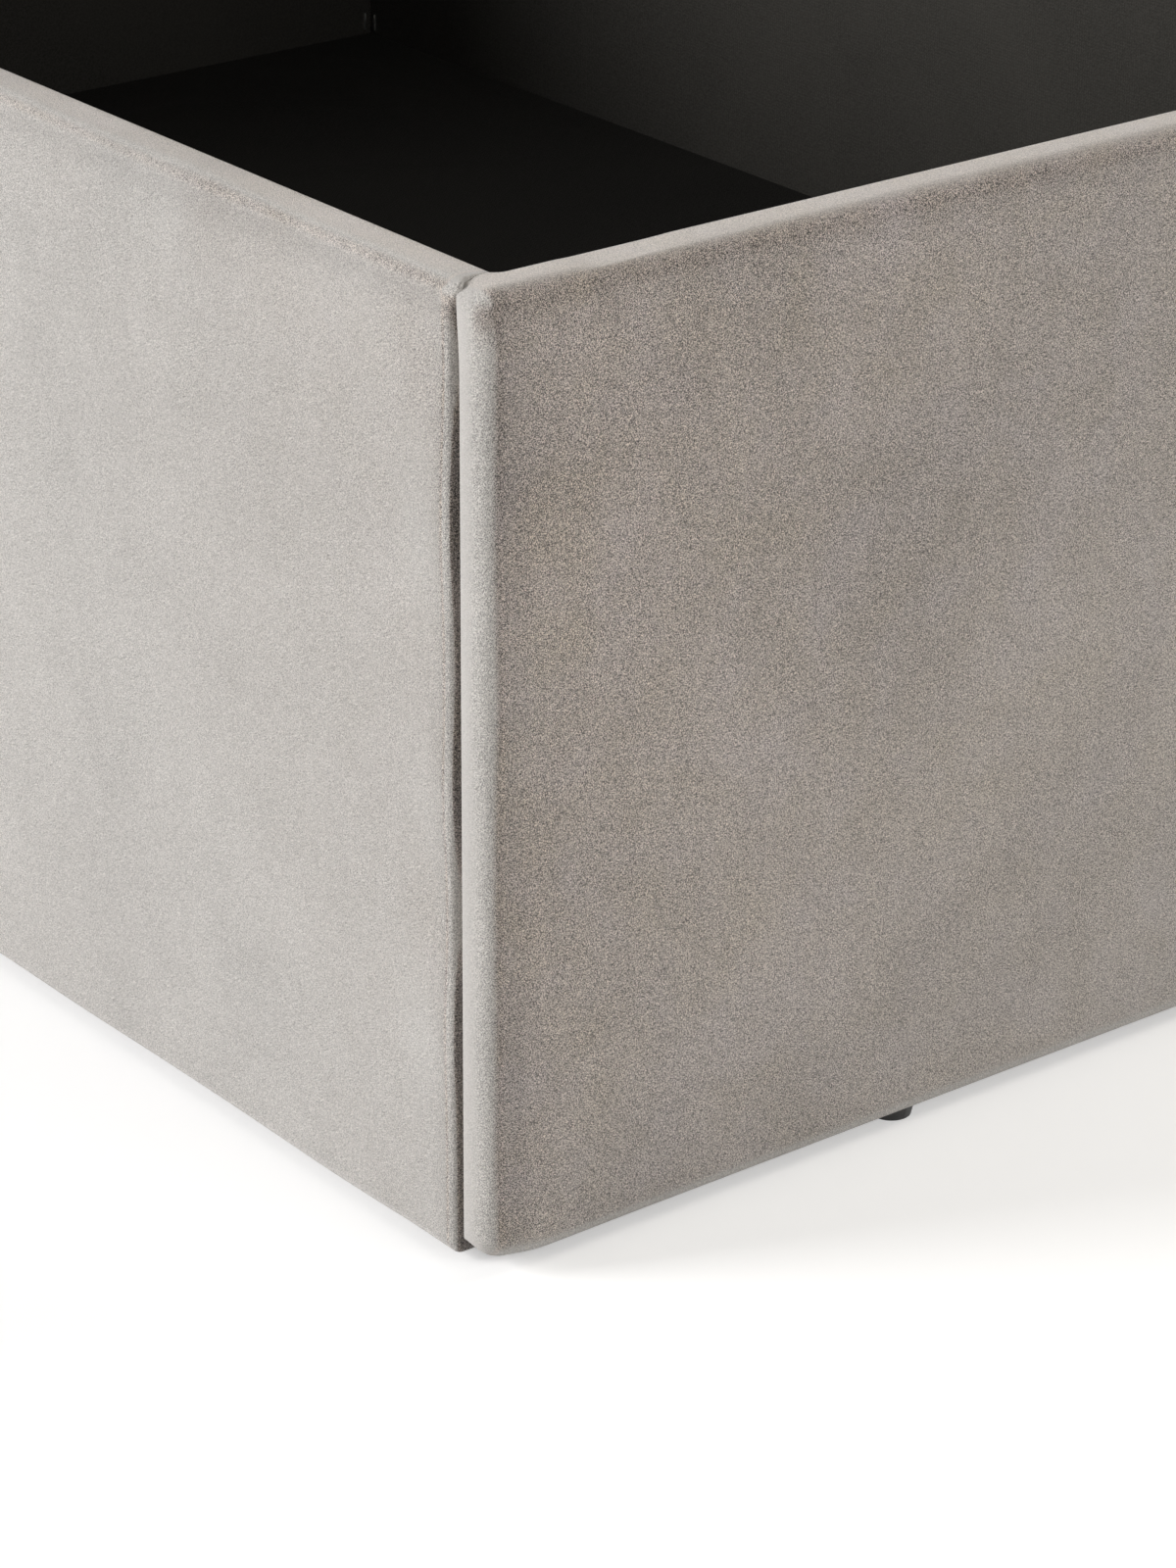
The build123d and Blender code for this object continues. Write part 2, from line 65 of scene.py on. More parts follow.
# Lid, in its closed place
LID_LENGTH = 1.2
LID_DEPTH = 0.825
LID_LOW = 0.354
LID_SEAM = 0.401
LID_SIDE = 0.4255
LID_INSET = 0.0035
LID_CORNER = 0.025
LID_CROWN = 0.011
LID_HEM = 0.062
LINING_LAP = 0.008
BUMPER_Y = 0.3525
BUMPER_CLEAR = (0.0105, 0.018)
HINGE = Vector((0.0, 0.4175, 0.349))
LID_SWING = Matrix.Rotation(math.radians(80), 4, Vector((-1, 0, 0)))
LID_OPEN = Matrix.Translation(HINGE) @ LID_SWING @ Matrix.Translation(-HINGE)

# Pull tab under the lid's front edge
TAB_FRONT = -LID_DEPTH / 2
TAB_HALF = 0.023
TAB_STRAP = 0.0016
TAB_LOOP = 0.0045
TAB_REACH = 0.026
TAB_HELD = 0.044
TAB_SEAMS = (0.036, 0.041)

# Fixings: screw heads of the hinges and struts with the lid closed, and the linings' staples
HINGES_X = (-0.41, 0.0, 0.41)
HINGE_SCREWS = (-0.02, 0.0, 0.02)
BASE_LEAF_HEADS = (0.4165, 0.321)
LID_LEAF_HEADS = (0.3895, LID_LOW - 0.002)
STRUT_BASE_HEADS_X = 0.5762
STRUT_BASE_HEADS_Y = 0.376
STRUT_BASE_HEADS_Z = (0.2646, 0.2886)
STRUT_LID_HEADS_X = 0.5537
STRUT_LID_HEADS_Y = (0.0435, 0.0715)
STRUT_LID_HEADS_Z = 0.3487
STAPLE_SETBACK = 0.0045

# Studio
FLOOR_GLOW = 0.38
CAMERA_PLACE = (1.795986, -1.312804, 0.856149)
CAMERA_YAW = math.radians(141.754142)
CAMERA_PITCH = math.radians(24.109462)
CAMERA_ROLL = math.radians(0.329024)
CAMERA_LENS = 116.27309
SENSOR_HEIGHT = 36.0
LAMPS = {
    "key_lamp": ((-2.8, -5.4, 2.3), (0.3, -0.3, 0.2), 2.8, 540.0, (1.0, 0.995, 0.995)),
    "fill_lamp": ((3.6, 0.4, 1.5), (0.6, 0.0, 0.2), 2.0, 50.0, (1.0, 0.985, 0.96)),
    "rim_lamp": ((0.9, 2.8, 2.7), (0.6, 0.0, 0.3), 2.2, 82.0, (1.0, 0.95, 0.87)),
}


# Handling a piece on the bench

def take_up(piece):
    """Makes one piece the only selected and active one."""
    bpy.ops.object.select_all(action="DESELECT")
    piece.select_set(True)
    bpy.context.view_layer.objects.active = piece


def edit(piece):
    """Opens a piece for shaping."""
    take_up(piece)
    bpy.ops.object.mode_set(mode="EDIT")


def close_edit():
    bpy.ops.object.mode_set(mode="OBJECT")


def set_in_place(piece, place=None):
    """Bakes a piece's place into its mesh."""
    if place is not None:
        piece.matrix_world = place @ piece.matrix_world
    take_up(piece)
    bpy.ops.object.transform_apply(location=True, rotation=True, scale=True)


def start_block(name, low, high):
    """A block between two corners."""
    bpy.ops.object.select_all(action="DESELECT")
    middle = [(a + b) / 2 for a, b in zip(low, high)]
    bpy.ops.mesh.primitive_cube_add(size=1, location=middle)
    piece = bpy.context.object
    piece.name = piece.data.name = name
    piece.scale = [b - a for a, b in zip(low, high)]
    set_in_place(piece)
    return piece


def start_sheet(name, width, length, pitch):
    """A flat net of cloth round the origin, facing up."""
    bpy.ops.object.select_all(action="DESELECT")
    columns, rows = max(2, round(width / pitch)), max(2, round(length / pitch))
    bpy.ops.mesh.primitive_grid_add(x_subdivisions=columns, y_subdivisions=rows, size=1)
    piece = bpy.context.object
    piece.name = piece.data.name = name
    piece.scale = (width, length, 1)
    set_in_place(piece)
    return piece


def pick_edges(piece, test):
    """Selects, of an opened piece, the edges whose two ends pass a test."""
    bpy.ops.mesh.select_mode(type="EDGE")
    bpy.ops.mesh.select_all(action="DESELECT")
    shape = bmesh.from_edit_mesh(piece.data)
    for edge in shape.edges:
        edge.select_set(bool(test(edge.verts[0].co, edge.verts[1].co)))
    shape.select_flush_mode()
    bmesh.update_edit_mesh(piece.data)


def round_edges(width, segments):
    """Rolls the selected edges over."""
    bpy.ops.mesh.bevel(offset=width, segments=segments, profile=0.5, affect="EDGES", clamp_overlap=False)


def cut_across(axis, places):
    """Cuts through the whole opened piece, square to an axis."""
    for place in places:
        point, normal = [0, 0, 0], [0, 0, 0]
        point[axis], normal[axis] = place, 1
        bpy.ops.mesh.select_all(action="SELECT")
        bpy.ops.mesh.bisect(plane_co=point, plane_no=normal, threshold=0.00002)


def divide_along(piece, axis, low, high, pitch):
    """Cuts the stretch of an opened piece between two places into even strips, square to an axis."""
    cut_across(axis, [low, high])
    pick_edges(piece, lambda a, b: abs(abs(a[axis] - b[axis]) - (high - low)) < 0.0001)
    bpy.ops.mesh.subdivide(number_cuts=round((high - low) / pitch) - 1)


def even_steps(low, high, pitch):
    count = max(1, round((high - low) / pitch))
    return [low + (high - low) * step / count for step in range(count + 1)]


def finish_with(piece, kind, **settings):
    """Adds a modifier and applies it."""
    take_up(piece)
    bpy.ops.object.modifier_add(type=kind)
    modifier = piece.modifiers[-1]
    for key, value in settings.items():
        setattr(modifier, key, value)
    bpy.ops.object.modifier_apply(modifier=modifier.name)


def smooth_over(piece):
    finish_with(piece, "SUBSURF", levels=1, render_levels=1)


def shade(piece, degrees=None):
    take_up(piece)
    if degrees is None:
        bpy.ops.object.shade_smooth()
    else:
        bpy.ops.object.shade_smooth_by_angle(angle=math.radians(degrees))


def copy_at(piece, place):
    """A copy of a small piece with its own mesh, at a place."""
    twin = piece.copy()
    twin.data = piece.data.copy()
    bpy.context.collection.objects.link(twin)
    twin.data.transform(place)
    return twin


def gather(name, pieces):
    """Joins small pieces of one kind into one."""
    bpy.ops.object.select_all(action="DESELECT")
    for piece in pieces:
        piece.select_set(True)
    bpy.context.view_layer.objects.active = pieces[0]
    bpy.ops.object.join()
    pieces[0].name = pieces[0].data.name = name
    return pieces[0]


def move_points(piece, shift):
    """Moves each point of a piece along its normal by a worked-out distance."""
    was = [(vertex.co.copy(), vertex.normal.copy()) for vertex in piece.data.vertices]
    for vertex, (place, normal) in zip(piece.data.vertices, was):
        vertex.co = place + normal * shift(place, normal)


def mark_pile_and_painted_light(piece, weigh):
    """Notes, for the finish to read, where the pile opens over a bend and where shade or light is painted
    into the velvet: above 0 darker, below 0 lighter.
    """
    marks = piece.data.attributes.new("pile_bend_and_painted_light", "FLOAT", "POINT")
    for vertex in piece.data.vertices:
        marks.data[vertex.index].value = weigh(vertex.co)


def ramp(value, low, high):
    """0 below low, 1 above high, eased between."""
    share = min(1.0, max(0.0, (value - low) / (high - low)))
    return share * share * (3 - 2 * share)


# Finishes

def paint(red, green, blue):
    """A colour given as it looks on a screen, 0 to 255."""
    colour = []
    for level in (red, green, blue):
        share = level / 255
        colour.append(share / 12.92 if share < 0.04045 else ((share + 0.055) / 1.055) ** 2.4)
    return (*colour, 1)


def add_node(tree, kind, inputs=None, **settings):
    """A shader node with its settings, and its inputs given a value or linked."""
    made = tree.nodes.new(kind)
    for key, value in settings.items():
        setattr(made, key, value)
    for socket, value in (inputs or {}).items():
        if isinstance(value, bpy.types.NodeSocket):
            tree.links.new(value, made.inputs[socket])
        else:
            made.inputs[socket].default_value = value
    return made


def mix_colour(tree, share, first, second, blend="MIX"):
    inputs = {0: share, 6: first, 7: second}
    return add_node(tree, "ShaderNodeMix", inputs, data_type="RGBA", blend_type=blend).outputs[2]


def mix_value(tree, share, first, second):
    return add_node(tree, "ShaderNodeMix", {0: share, 2: first, 3: second}, data_type="FLOAT").outputs[0]


def work_out(tree, operation, first, second):
    return add_node(tree, "ShaderNodeMath", {0: first, 1: second}, operation=operation).outputs[0]


def times(tree, first, second):
    return work_out(tree, "MULTIPLY", first, second)


def plus(tree, first, second):
    return work_out(tree, "ADD", first, second)


def spread(tree, value, low, high, to_low, to_high):
    """Carries a value over from one range to another, held at both ends."""
    inputs = {"Value": value, "From Min": low, "From Max": high, "To Min": to_low, "To Max": to_high}
    return add_node(tree, "ShaderNodeMapRange", inputs).outputs[0]


def grain_noise(tree, vector, scale, detail=2.0, roughness=0.5, distortion=0.0):
    inputs = {"Vector": vector, "Scale": scale, "Detail": detail, "Roughness": roughness}
    inputs["Distortion"] = distortion
    return add_node(tree, "ShaderNodeTexNoise", inputs).outputs[0]


def stretched(tree, vector, scale, turn=(0, 0, 0)):
    inputs = {"Vector": vector, "Scale": scale, "Rotation": turn}
    return add_node(tree, "ShaderNodeMapping", inputs).outputs[0]


def start_group(name, values, results):
    """A shared effect: its inputs with their values, and its results."""
    tree = bpy.data.node_groups.new(name, "ShaderNodeTree")
    tree.interface.new_socket("Vector", in_out="INPUT", socket_type="NodeSocketVector")
    for label, value in values.items():
        socket = tree.interface.new_socket(label, in_out="INPUT", socket_type="NodeSocketFloat")
        socket.default_value = value
    for label in results:
        tree.interface.new_socket(label, in_out="OUTPUT", socket_type="NodeSocketFloat")
    return tree, tree.nodes.new("NodeGroupInput").outputs, tree.nodes.new("NodeGroupOutput").inputs


def brushed_nap_group():
    """Where a pile or soft cloth lies brushed one way or another: broad patches, small ones, streaks."""
    tree, given, results = start_group(
        "brushed_nap", {"Patch": 7.0, "Small": 38.0}, ["Patches", "Mottle", "Streaks"]
    )
    broad = grain_noise(tree, given["Vector"], given["Patch"], 3.0, 0.55, 0.7)
    small = grain_noise(tree, given["Vector"], given["Small"], 4.0, 0.6, 0.3)
    streaks = grain_noise(tree, stretched(tree, given["Vector"], (60, 60, 9)), 1.0, 3.0, 0.55, 0.5)
    tree.links.new(spread(tree, broad, 0.32, 0.68, 0.0, 1.0), results["Patches"])
    tree.links.new(spread(tree, small, 0.3, 0.7, 0.0, 1.0), results["Mottle"])
    tree.links.new(spread(tree, streaks, 0.3, 0.7, 0.0, 1.0), results["Streaks"])
    return tree


def fine_fibre_group():
    """Fibre ends and their shadows, and a height for them."""
    tree, given, results = start_group("fine_fibre", {"Scale": 1200.0}, ["Speckle", "Height"])
    skewed = stretched(tree, given["Vector"], (1, 1, 1), (0.61, 0.43, 0.29))
    tips = grain_noise(tree, skewed, given["Scale"], 2.0, 0.55)
    clumps = grain_noise(tree, skewed, times(tree, given["Scale"], 0.34), 2.0, 0.5)
    both = plus(tree, times(tree, tips, 0.93), times(tree, clumps, 0.07))
    tree.links.new(spread(tree, both, 0.36, 0.64, 0.0, 1.0), results["Speckle"])
    tree.links.new(both, results["Height"])
    return tree


def handling_wear_group():
    """Smudges, fine scratches and settled dust on a hard finish."""
    tree, given, results = start_group(
        "handling_wear", {"Smudge": 22.0}, ["Smudges", "Scratches", "Dust"]
    )
    smudges = grain_noise(tree, given["Vector"], given["Smudge"], 4.0, 0.6, 0.8)
    drawn = stretched(tree, given["Vector"], (900, 40, 900), (0.3, 0.2, 0.5))
    scratches = grain_noise(tree, drawn, 1.0, 2.0, 0.5)
    dust = grain_noise(tree, given["Vector"], 420.0, 3.0, 0.7)
    tree.links.new(spread(tree, smudges, 0.3, 0.7, 0.0, 1.0), results["Smudges"])
    tree.links.new(spread(tree, scratches, 0.5, 0.72, 0.0, 1.0), results["Scratches"])
    tree.links.new(spread(tree, dust, 0.58, 0.75, 0.0, 1.0), results["Dust"])
    return tree


def wood_figure_group():
    """Growth rings and pores along X."""
    tree, given, results = start_group("wood_figure", {"Rings": 55.0}, ["Rings", "Pores"])
    drawn = stretched(tree, given["Vector"], (0.12, 1.0, 1.0))
    bent = grain_noise(tree, drawn, 9.0, 2.0, 0.5)
    shifted = add_node(tree, "ShaderNodeVectorMath", {0: drawn, 1: bent}, operation="ADD").outputs[0]
    rings = grain_noise(tree, shifted, given["Rings"], 3.0, 0.6, 1.2)
    pores = grain_noise(tree, stretched(tree, given["Vector"], (60, 1600, 1600)), 1.0, 2.0, 0.5)
    tree.links.new(spread(tree, rings, 0.3, 0.7, 0.0, 1.0), results["Rings"])
    tree.links.new(spread(tree, pores, 0.3, 0.7, 0.0, 1.0), results["Pores"])
    return tree


NAP = brushed_nap_group()
FIBRE = fine_fibre_group()
WEAR = handling_wear_group()
FIGURE = wood_figure_group()


def start_finish(name, **constants):
    """A material with its shader, and the place on the piece that its pattern follows."""
    material = bpy.data.materials.new(name)
    material.use_nodes = True
    tree = material.node_tree
    shader = tree.nodes["Principled BSDF"]
    for socket, value in constants.items():
        shader.inputs[socket.replace("_", " ")].default_value = value
    place = tree.nodes.new("ShaderNodeTexCoord").outputs["Object"]
    return material, tree, shader.inputs, place


def use_group(tree, group, vector, **values):
    made = add_node(tree, "ShaderNodeGroup", node_tree=group)
    tree.links.new(vector, made.inputs["Vector"])
    for label, value in values.items():
        made.inputs[label].default_value = value
    return made.outputs


def raise_surface(tree, sockets, height, distance, strength):
    inputs = {"Strength": strength, "Distance": distance, "Height": height}
    tree.links.new(add_node(tree, "ShaderNodeBump", inputs).outputs[0], sockets["Normal"])


def warm_grey_velvet():
    """Short warm-grey pile: speckled where one looks into it, paler and cooler by a painted sheen where it
    is seen at a grazing angle, opened over the bends, with painted shade in grooves and painted light over
    rolled edges.
    """
    material, tree, sockets, place = start_finish(
        "warm_grey_velvet",
        Sheen_Weight=0.5,
        Sheen_Roughness=0.45,
        Sheen_Tint=(1.0, 0.99, 0.98, 1),
        Specular_IOR_Level=0.08,
    )
    nap = use_group(tree, NAP, place, Patch=5.0, Small=34.0)
    fibre = use_group(tree, FIBRE, place, Scale=2400.0)
    # The mesh attribute: where the pile opens, and where shade or light is painted.
    pile_bend_and_painted_light = add_node(tree, "ShaderNodeAttribute", attribute_name="pile_bend_and_painted_light").outputs["Fac"]
    opened = work_out(tree, "MAXIMUM", pile_bend_and_painted_light, 0.0)
    # Painted light over the rolled edges, where the attribute is below 0.
    painted_roll_light = spread(tree, pile_bend_and_painted_light, -1.0, -0.5, 1.0, 0.0)
    # How far the view grazes the surface; it drives the painted sheen below.
    grazing_view = add_node(tree, "ShaderNodeLayerWeight", {"Blend": 0.5}).outputs["Facing"]
    into_pile = spread(tree, grazing_view, 0.24, 0.46, 1.0, 0.32)
    into_pile = times(tree, into_pile, spread(tree, pile_bend_and_painted_light, -1.0, 0.0, 0.35, 1.0))
    squat = stretched(tree, place, (1.0, 1.0, 0.75))
    knots = add_node(tree, "ShaderNodeTexVoronoi", {"Vector": squat, "Scale": 900.0, "Randomness": 0.45})
    rows = times(tree, spread(tree, knots.outputs["Distance"], 0.15, 0.75, 0.5, -0.5), opened)

    uneven = 0.0
    shares = {"Patches": 0.40, "Mottle": 0.20, "Streaks": 0.10, "Speckle": 3.0}
    for label, share in shares.items():
        pattern = fibre[label] if label == "Speckle" else nap[label]
        uneven = plus(tree, uneven, times(tree, work_out(tree, "SUBTRACT", pattern, 0.5), share))
    tone = work_out(tree, "MAXIMUM", plus(tree, times(tree, uneven, into_pile), 1.0), 0.15)
    # Painted sheen: darker seen face-on, paler at a grazing angle; over the rolled edges an even painted
    # light instead.
    painted_sheen = mix_value(tree, painted_roll_light, spread(tree, grazing_view, 0.10, 0.60, 0.70, 1.50), 1.14)
    tone = plus(tree, times(tree, tone, painted_sheen), times(tree, rows, 0.30))
    # Painted shade and light from the mesh attribute: darker in grooves and where the pile opens, lighter
    # over the rolled edges.
    tone = times(tree, tone, spread(tree, pile_bend_and_painted_light, -1.0, 3.0, 1.32, 0.12))

    # Painted sheen tint: towards a paler, cooler grey at a grazing angle and over the rolled edges.
    painted_sheen_tint = spread(tree, grazing_view, 0.25, 0.5, 0.0, 1.0)
    painted_sheen_tint = times(tree, painted_sheen_tint, spread(tree, pile_bend_and_painted_light, -0.45, 0.0, 0.6, 1.0))
    painted_sheen_tint = work_out(tree, "MAXIMUM", painted_sheen_tint, painted_roll_light)
    colour = mix_colour(tree, nap["Mottle"], paint(172, 161, 149.5), paint(165.5, 156, 152))
    colour = mix_colour(tree, painted_sheen_tint, colour, paint(166, 162.5, 158.5))
    colour = mix_colour(tree, 1.0, colour, tone, "MULTIPLY")
    tree.links.new(colour, sockets["Base Color"])
    tree.links.new(spread(tree, nap["Patches"], 0.0, 1.0, 0.86, 0.95), sockets["Roughness"])
    pile = plus(tree, fibre["Height"], times(tree, rows, 0.25))
    raise_surface(tree, sockets, pile, 0.0014, 0.8)
    return material


def black_lining(name, deep, raised, rubbed):
    """Black spun cloth with its pressed dots."""
    material, tree, sockets, place = start_finish(name, Specular_IOR_Level=0.04)
    nap = use_group(tree, NAP, place, Patch=5.0, Small=60.0)
    fibre = use_group(tree, FIBRE, place, Scale=900.0)
    dots = add_node(tree, "ShaderNodeTexVoronoi", {"Vector": place, "Scale": 620.0, "Randomness": 0.25})
    pressed = spread(tree, dots.outputs["Distance"], 0.2, 0.42, 0.0, 1.0)
    colour = mix_colour(tree, fibre["Speckle"], deep, raised)
    colour = mix_colour(tree, times(tree, nap["Patches"], 0.4), colour, rubbed)
    tree.links.new(colour, sockets["Base Color"])
    tree.links.new(spread(tree, pressed, 0.0, 1.0, 0.62, 0.82), sockets["Roughness"])
    height = plus(tree, fibre["Height"], times(tree, pressed, 0.6))
    raise_surface(tree, sockets, height, 0.0004, 0.5)
    return material


def black_webbing():
    """Black woven tape, ribbed across."""
    material, tree, sockets, place = start_finish("black_webbing", Specular_IOR_Level=0.3)
    fibre = use_group(tree, FIBRE, place, Scale=1500.0)
    inputs = {"Vector": place, "Scale": 210.0, "Distortion": 0.4}
    ribs = add_node(tree, "ShaderNodeTexWave", inputs, bands_direction="X").outputs["Fac"]
    colour = mix_colour(tree, ribs, paint(14, 14, 14), paint(38, 37, 36))
    colour = mix_colour(tree, times(tree, fibre["Speckle"], 0.4), colour, paint(52, 51, 49))
    tree.links.new(colour, sockets["Base Color"])
    tree.links.new(spread(tree, fibre["Speckle"], 0.0, 1.0, 0.6, 0.85), sockets["Roughness"])
    raise_surface(tree, sockets, ribs, 0.0006, 0.7)
    return material


def grey_thread():
    material, tree, sockets, place = start_finish("grey_thread", Specular_IOR_Level=0.3)
    fibre = use_group(tree, FIBRE, place, Scale=3000.0)
    colour = mix_colour(tree, fibre["Speckle"], paint(120, 114, 108), paint(168, 162, 155))
    tree.links.new(colour, sockets["Base Color"])
    tree.links.new(spread(tree, fibre["Speckle"], 0.0, 1.0, 0.5, 0.8), sockets["Roughness"])
    return material


def hard_finish(name, dull, bright, rough, metal, dusty):
    """Metal, enamel or moulded plastic with the smudges, scratches and dust of handling."""
    material, tree, sockets, place = start_finish(name, Metallic=metal)
    wear = use_group(tree, WEAR, place)
    fibre = use_group(tree, FIBRE, place, Scale=1800.0)
    colour = mix_colour(tree, wear["Smudges"], dull, bright)
    colour = mix_colour(tree, times(tree, wear["Dust"], dusty), colour, paint(120, 116, 110))
    tree.links.new(colour, sockets["Base Color"])
    worn = spread(tree, wear["Smudges"], 0.0, 1.0, rough[0], rough[1])
    worn = plus(tree, worn, times(tree, wear["Scratches"], 0.12))
    tree.links.new(worn, sockets["Roughness"])
    marks = plus(tree, times(tree, wear["Scratches"], -0.3), fibre["Height"])
    raise_surface(tree, sockets, marks, 0.00012, 0.35)
    return material


def wood_finish(name, early, late, pore_depth, rings, rough):
    material, tree, sockets, place = start_finish(name)
    figure = use_group(tree, FIGURE, place, Rings=rings)
    fibre = use_group(tree, FIBRE, place, Scale=700.0)
    colour = mix_colour(tree, figure["Rings"], early, late)
    colour = mix_colour(tree, times(tree, figure["Pores"], pore_depth), colour, paint(96, 68, 42))
    tree.links.new(colour, sockets["Base Color"])
    tree.links.new(spread(tree, fibre["Speckle"], 0.0, 1.0, rough, rough + 0.15), sockets["Roughness"])
    raise_surface(tree, sockets, figure["Pores"], 0.0003, 0.4)
    return material


WALL_CLOTH = black_lining("black_wall_lining", paint(48, 47, 44), paint(62, 60, 57), paint(68, 66, 62))
FINISHES = {
    "velvet": warm_grey_velvet(),
    "lining_cloth": WALL_CLOTH,
    "webbing": black_webbing(),
    "plywood": wood_finish("birch_plywood", paint(214, 184, 140), paint(190, 152, 106), 0.35, 70.0, 0.55),
    "softwood": wood_finish("planed_softwood", paint(220, 188, 140), paint(186, 140, 88), 0.3, 45.0, 0.55),
    "fibreboard": wood_finish("brown_fibreboard", paint(120, 88, 60), paint(104, 74, 50), 0.5, 260.0, 0.6),
}
FINISHES["foam"] = FINISHES["velvet"]
HARD_LOOKS = {
    "black_plastic": (paint(20, 20, 20), paint(34, 33, 32), (0.4, 0.55), 0.0, 0.2),
    "bumper_rubber": (paint(26, 26, 26), paint(40, 39, 38), (0.7, 0.85), 0.0, 0.25),
    "black_enamel": (paint(16, 16, 17), paint(26, 26, 27), (0.18, 0.32), 0.0, 0.12),
    "chromed_rod": (paint(205, 205, 206), paint(226, 226, 227), (0.05, 0.14), 1.0, 0.0),
    "strut_fittings": (paint(24, 24, 24), paint(38, 37, 36), (0.35, 0.5), 0.0, 0.2),
    "zinc_steel": (paint(178, 178, 174), paint(206, 205, 200), (0.3, 0.46), 1.0, 0.06),
}
for look_name, look in HARD_LOOKS.items():
    FINISHES[look_name] = hard_finish(look_name, *look)
# Painted shade: the walls' black cloth made darker for the floor, which lies in the shade of the walls.
SHADED_FLOOR_CLOTH = black_lining("black_lining_painted_floor_shade", paint(25, 24, 23), paint(36, 35, 33), paint(40, 39, 36))
THREAD = grey_thread()
# Painted shade: a dark finish for the crosses that stand in for the shade in the screws' driver recesses.
RECESS_SHADE = hard_finish("shaded_recess", paint(30, 30, 30), paint(44, 43, 42), (0.45, 0.6), 1.0, 0.1)


def dress(piece, material, body):
    """Gives a new piece its finish and the body that it moves with."""
    piece.data.materials.clear()
    piece.data.materials.append(material)
    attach(piece, body)


# Upholstered panels of the box

def round_end_corners(piece, across):
    """Rounds the four corners of a left or right panel, less at the top."""
    pick_edges(piece, lambda a, b: abs(a[across] - b[across]) > 0.001 and a.z > 0.2)
    round_edges(END_PANEL_ROLL + 0.0004, 7)
    pick_edges(piece, lambda a, b: abs(a[across] - b[across]) > 0.001 and a.z < 0.012 and b.z < 0.012)
    round_edges(END_PANEL_ROLL + 0.003, 7)


def net_panel(piece, along, low, high):
    """Cuts an opened panel into the net of strips that its velvet is shaped on."""
    if along == 0:
        setbacks = {0: (0.0012, 0.004), 2: (0.0012, 0.004, 0.0065, 0.009)}
        margin = 0.012
    else:
        setbacks = {1: (0.0062, PANEL_NOSE, 0.0165, 0.022)}
        margin = 0.027
    for axis, distances in setbacks.items():
        cut_across(axis, [low[axis] + distance for distance in distances])
        cut_across(axis, [high[axis] - distance for distance in distances])
    if along == 1:
        near, far = BUMPER_CLEAR
        offsets = (-far, -near, 0.0, near, far)
        cut_across(1, [way * (BUMPER_Y + offset) for way in (-1, 1) for offset in offsets])
    divide_along(piece, along, low[along] + margin, high[along] - margin, NET_PITCH)
    divide_along(piece, 2, low[2] + 0.012, high[2] - 0.012, NET_PITCH)


